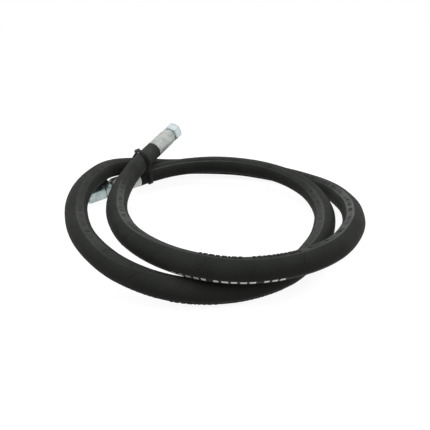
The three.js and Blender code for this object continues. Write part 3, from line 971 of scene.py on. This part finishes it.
def make_nut(name, back, length, turn, place, finish, crowns):
    """A swivel nut: a hexagon whose bore carries a thread, with a countersunk mouth."""
    face = back + length
    thread_end = back + NUT_WEB
    thread_start = face - THREAD_RUNOUT
    rows = int((length - NUT_WEB - 1.2 * MM) / THREAD_PITCH * THREAD_ROWS)

    def bore_loop(angle):
        loop = [(radius, face - depth) for radius, depth in COUNTERSINK]
        for z in np.linspace(thread_start, thread_end + 0.2 * MM, rows + 1):
            phase = (z / THREAD_PITCH - angle / (2 * math.pi)) % 1
            tooth = smooth_step(1 - abs(2 * phase - 1), 0.1, 0.9) - 0.35
            fade = min(1.0, (thread_start - z) / THREAD_RUNOUT, (z - thread_end) / THREAD_RUNOUT + 0.1)
            loop.append((THREAD_RADIUS + THREAD_HEIGHT * fade * tooth, z))
        middle = back + NUT_WEB / 2
        loop += [(8.6 * MM, thread_end), (NUT_BORE, thread_end)]
        loop += [(radius * MM, middle + z * MM) for radius, z in NUT_GROOVE]
        return loop + [(NUT_BORE, back + 0.3 * MM), (NUT_BORE + 0.3 * MM, back)]

    return hex_ring(name, back, face, turn, bore_loop, place, finish, crowns)


WIRE_RADIUS = 0.75 * MM
WIRE_RING = 6.85 * MM
WIRE_COLUMNS = 64
WIRE_SIDES = 12


def make_thrust_wire(name, at, place):
    turns = all_round(WIRE_SIDES)
    loop = [(WIRE_RING + WIRE_RADIUS * math.cos(t), at + WIRE_RADIUS * math.sin(t)) for t in turns]
    return ring_mesh(name, lambda angle: loop, all_round(WIRE_COLUMNS), place, SPRING_STEEL, 60)


for letter, at, inside, wrench, length, turn, finish, crowns in (
    ("a", fine_line[0], fine_line[1], False, NUT_LENGTH_A, HEX_TURN_A, BRIGHT_ZINC, CROWN_LENGTHS_A),
    # End B takes the darker copy of the zinc, as painted shade.
    ("b", fine_line[-1], fine_line[-2], True, NUT_LENGTH_B, HEX_TURN_B, SHADED_ZINC, None),
):
    place = fitting_frame(at, at - inside)
    collar = WRENCH_HEX_NECK + WRENCH_HEX_LENGTH if wrench else COLLAR_LENGTH
    back = FERRULE_LENGTH + 2 * GAP + collar
    ferrule = make_ferrule("ferrule_sleeve_" + letter, place)
    nipples = make_nipple("nipple_body_" + letter, place, wrench, turn, finish)
    nut = make_nut("swivel_nut_" + letter, back, length, turn, place, finish, crowns)
    wire = make_thrust_wire("thrust_ring_" + letter, back + NUT_WEB / 2, place)
    made = [(ferrule, "ferrule_", "satin_zinc", "hose"), (nut, "nut_", "bright_zinc", "nut_" + letter)]
    made += [(piece, "nipple_", "bright_zinc", "hose") for piece in nipples]
    made.append((wire, "thrust_wire_", "spring_steel", "hose"))
    for piece, stands_for, slot, body in made:
        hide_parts(stands_for + letter)
        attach(piece, body)

# ------------------------ cable tie

TIE_WIDTH = 4.8 * MM
TIE_THICKNESS = 1.3 * MM
TIE_BEVEL = 0.22 * MM
TIE_LIFT = 0.2 * MM  # of the strap off the skin
TIE_FROM_END_A = 25.5 * MM
TIE_YAW = 30  # of the strap's plane, in degrees from the YZ plane
TIE_TILT = 13  # and how far it leans over
TIE_HEAD = (7.0 * MM, 7.4 * MM, 3.8 * MM)  # length, width and height
TIE_HEAD_DIRECTION = 61  # degrees, round the strap
TIE_HEAD_SHIFT = 3.5 * MM  # along the strap, from where it leaves the hose
TIE_TAIL = 1.6 * MM
TAIL_LIFT = 1.65 * MM  # of the tail, from the foot of the head
BUNDLE_REACH = 66 * MM  # how far from end A's hose the strap goes
SKIN_STEP = 0.8 * MM
SKIN_COLUMNS = 60
STRAP_STEPS = 180


def strap_axes():
    """Where the strap's plane stands: its origin, its two axes, and the direction across it."""
    yaw, tilt = math.radians(TIE_YAW), math.radians(TIE_TILT)
    u = np.array([-math.sin(yaw), math.cos(yaw), 0])
    level = np.array([math.cos(yaw), math.sin(yaw), 0])
    across = level * math.cos(tilt) + np.array([0, 0, math.sin(tilt)])
    return centreline(np.array([TIE_FROM_END_A]))[0], u, np.cross(across, u), across


def bundle(origin, u, v, across):
    """The skin of the hoses under the strap, seen along the direction across it."""
    along = np.arange(0, HOSE_LENGTH, SKIN_STEP)
    skin = on_skin(along[:, None], all_round(SKIN_COLUMNS)[None, :], TIE_LIFT)
    skin = skin.reshape(-1, 3) - origin
    near = np.abs(skin @ across) < TIE_HEAD[1] / 2 + GAP
    near &= np.linalg.norm(skin, axis=1) < BUNDLE_REACH
    return np.stack([skin[near] @ u, skin[near] @ v], axis=1)


def make_strap():
    """The strap, drawn tight round the hoses, and the place of its head."""
    origin, u, v, across = strap_axes()
    flat = bundle(origin, u, v, across)
    turns = all_round(STRAP_STEPS)
    normals = np.stack([np.cos(turns), np.sin(turns)], axis=1)
    tangents = np.stack([-np.sin(turns), np.cos(turns)], axis=1)
    reach = (flat @ normals.T).max(axis=0)
    slope = (np.roll(reach, -1) - np.roll(reach, 1)) / (2 * turns[1])
    line = reach[:, None] * normals + slope[:, None] * tangents

    half = TIE_WIDTH / 2
    corner = [(0, half - TIE_BEVEL), (TIE_BEVEL, half)]
    outline = [(lift, -shift) for lift, shift in corner]
    outline += [(TIE_THICKNESS - lift, -shift) for lift, shift in reversed(corner)]
    outline += [(TIE_THICKNESS - lift, shift) for lift, shift in corner]
    outline += [(lift, shift) for lift, shift in reversed(corner)]
    points = []
    for p, n in zip(line, normals):
        for lift, shift in outline:
            q = p + n * lift
            points.append(origin + q[0] * u + q[1] * v + shift * across)
    points = np.array(points)
    faces = outward(points, quads(len(line), len(outline), rows_close=True))
    strap = new_piece("tie_strap", points, faces, STRAP_NYLON, 50)

    turn = math.radians(TIE_HEAD_DIRECTION)
    out = math.cos(turn) * u + math.sin(turn) * v
    tangent = math.sin(turn) * u - math.cos(turn) * v
    foot = flat[np.argmax(flat @ (math.cos(turn), math.sin(turn)))]
    place = Matrix((Vector(tangent), Vector(across), Vector(out))).transposed().to_4x4()
    place.translation = Vector(origin + foot[0] * u + foot[1] * v + TIE_HEAD_SHIFT * tangent)
    return strap, place


def block(name, low, high, place, bevel, segments, window=None):
    """A block with rounded edges; the window is the width of the rim round a hollow in its top."""
    made = bmesh.new()
    sides = [(low[k], high[k]) for k in range(3)]
    corners = [made.verts.new((x, y, z)) for x in sides[0] for y in sides[1] for z in sides[2]]
    for face in ((0, 1, 3, 2), (4, 6, 7, 5), (0, 4, 5, 1), (2, 3, 7, 6), (0, 2, 6, 4), (1, 5, 7, 3)):
        made.faces.new([corners[i] for i in face])
    bmesh.ops.bevel(made, geom=list(made.edges), offset=bevel, segments=segments, affect="EDGES")
    bmesh.ops.recalc_face_normals(made, faces=list(made.faces))
    if window:
        top = max(made.faces, key=lambda face: face.calc_area() * (face.normal.z > 0.9))
        bmesh.ops.inset_region(made, faces=[top], thickness=window)
        bmesh.ops.inset_region(made, faces=[top], thickness=0.15 * MM, depth=-0.9 * MM)
    mesh = bpy.data.meshes.new(name)
    made.to_mesh(mesh)
    made.free()
    return add_piece(name, mesh, HEAD_NYLON, 50, place)


def around(length, width, low, high):
    """The lowest and highest corners of a block that is centred on the head's place."""
    return (-length / 2, -width / 2, low), (length / 2, width / 2, high)


tie_strap, tie_place = make_strap()
low, high = around(TIE_HEAD[0], TIE_HEAD[1], 0.1 * MM, TIE_HEAD[2])
tie_head = block("tie_head", low, high, tie_place, 0.8 * MM, 3, window=1.0 * MM)
low, high = around(TIE_HEAD[0] + 0.4 * MM, TIE_WIDTH, TAIL_LIFT, TAIL_LIFT + TIE_THICKNESS)
tie_tail = block("tie_tail", low, (high[0] + TIE_TAIL, *high[1:]), tie_place, 0.25 * MM, 2)
for piece in (tie_strap, tie_head, tie_tail):
    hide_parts("cable_tie")
    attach(piece, "hose")

# ------------------------ the layers under the cover


def layer_line():
    """The hose's centreline, run on straight into both ferrules."""
    inside = centreline(np.linspace(0, HOSE_LENGTH, LAYER_ROWS))
    first = inside[0] + unit(inside[0] - fine_line[1]) * LAYER_REACH
    last = inside[-1] + unit(inside[-1] - fine_line[-2]) * LAYER_REACH
    return np.concatenate([[first], inside, [last]])


def make_layer(node_name, bore, radius, material, finish):
    """A tube that stands in for one of the hose's inner layers."""
    line = layer_line()
    ahead = np.gradient(line, axis=0)
    ahead[:2], ahead[-2:] = line[1] - line[0], line[-1] - line[-2]
    up, side = upright(unit(ahead))
    turns = all_round(LAYER_COLUMNS)[None, :, None]
    round_it = np.cos(turns) * up[:, None] + np.sin(turns) * side[:, None]
    rings = [line[:, None] + radius * round_it, line[::-1, None] + bore * round_it[::-1]]
    points = np.concatenate(rings).reshape(-1, 3)
    faces = outward(points, quads(2 * len(line), LAYER_COLUMNS, rows_close=True))
    piece = new_piece(node_name + "_layer", points, faces, material, 50)
    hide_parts(node_name)
    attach(piece, "hose")
    return piece


layer_looks = ((WIRE, "braid_wire"), (WIRE, "braid_wire"), (TUBE, "tube_rubber"))
layer_pieces = [make_layer(*layer, *look) for layer, look in zip(LAYERS, layer_looks)]

for piece in (hose, marks, print_marks):
    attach(piece, "hose")

# ------------------------ floor, world and lamps

FLOOR_Z = -0.4 * MM
FLOOR_HALF = 4.0
FLOOR_GREY = (0.22, 0.22, 0.22, 1)
FLOOR_GLOW = 0.91


def seen_directly(tree):
    """1 for rays from the camera, in mirrors and through glass, 0 for the light on the object."""
    rays = node(tree, "LightPath").outputs
    seen = math_node(tree, "MAXIMUM", rays["Is Camera Ray"], rays["Is Glossy Ray"])
    return math_node(tree, "MAXIMUM", seen, rays["Is Transmission Ray"])


def make_floor():
    """Pale grey for the light, white for whoever looks at it, with the object's shadow kept."""
    material, tree = new_material("floor")
    tree.nodes.clear()
    diffuse = node(tree, "BsdfDiffuse", {"Color": FLOOR_GREY}).outputs[0]
    strength = math_node(tree, "MULTIPLY", seen_directly(tree), FLOOR_GLOW)
    glow = node(tree, "Emission", {"Strength": strength}).outputs[0]
    both = node(tree, "AddShader", {0: diffuse, 1: glow}).outputs[0]
    node(tree, "OutputMaterial", {"Surface": both})
    signs = ((-1, -1), (1, -1), (1, 1), (-1, 1))
    corners = [(x * FLOOR_HALF, y * FLOOR_HALF, FLOOR_Z) for x, y in signs]
    new_piece("floor", corners, [[0, 1, 2, 3]], material)


def make_world():
    """Soft light, most of it from above and some from both sides; white where it is seen."""
    world = bpy.data.worlds.new("world")
    bpy.context.scene.world = world
    world.use_nodes = True
    tree = world.node_tree
    direction = node(tree, "TexCoord").outputs["Generated"]
    split = node(tree, "SeparateXYZ", {0: direction}).outputs
    x, z = split[0], split[2]
    above = ramp(tree, z, low=0.45, high=0.95, start=0.08, end=1.30)
    zenith = ramp(tree, z, low=0.86, high=0.94, end=0.55)
    beside = math_node(tree, "ABSOLUTE", x)
    beside = ramp(tree, beside, low=0.35, high=0.95, end=0.8)
    light = math_node(tree, "ADD", math_node(tree, "ADD", above, zenith), beside)
    seen = seen_directly(tree)
    unseen = math_node(tree, "SUBTRACT", 1.0, seen)
    strength = math_node(tree, "MULTIPLY_ADD", light, unseen, seen)
    fill(tree, tree.nodes["Background"].inputs, {"Strength": strength, "Color": (1, 1, 1, 1)})


def lamp(name, at, towards, size, power):
    """A rectangular lamp; its power is in watts."""
    data = bpy.data.lights.new(name, "AREA")
    data.shape = "RECTANGLE"
    data.size, data.size_y = size
    data.energy = power
    made = bpy.data.objects.new(name, data)
    turn = (Vector(towards) - Vector(at)).to_track_quat("-Z", "Y").to_matrix().to_4x4()
    made.matrix_world = Matrix.Translation(at) @ turn
    bpy.context.scene.collection.objects.link(made)


make_floor()
make_world()
lamp("overhead", at=(-0.1, 0.15, 1.1), towards=(0, 0, 0), size=(1.0, 0.8), power=1.2)
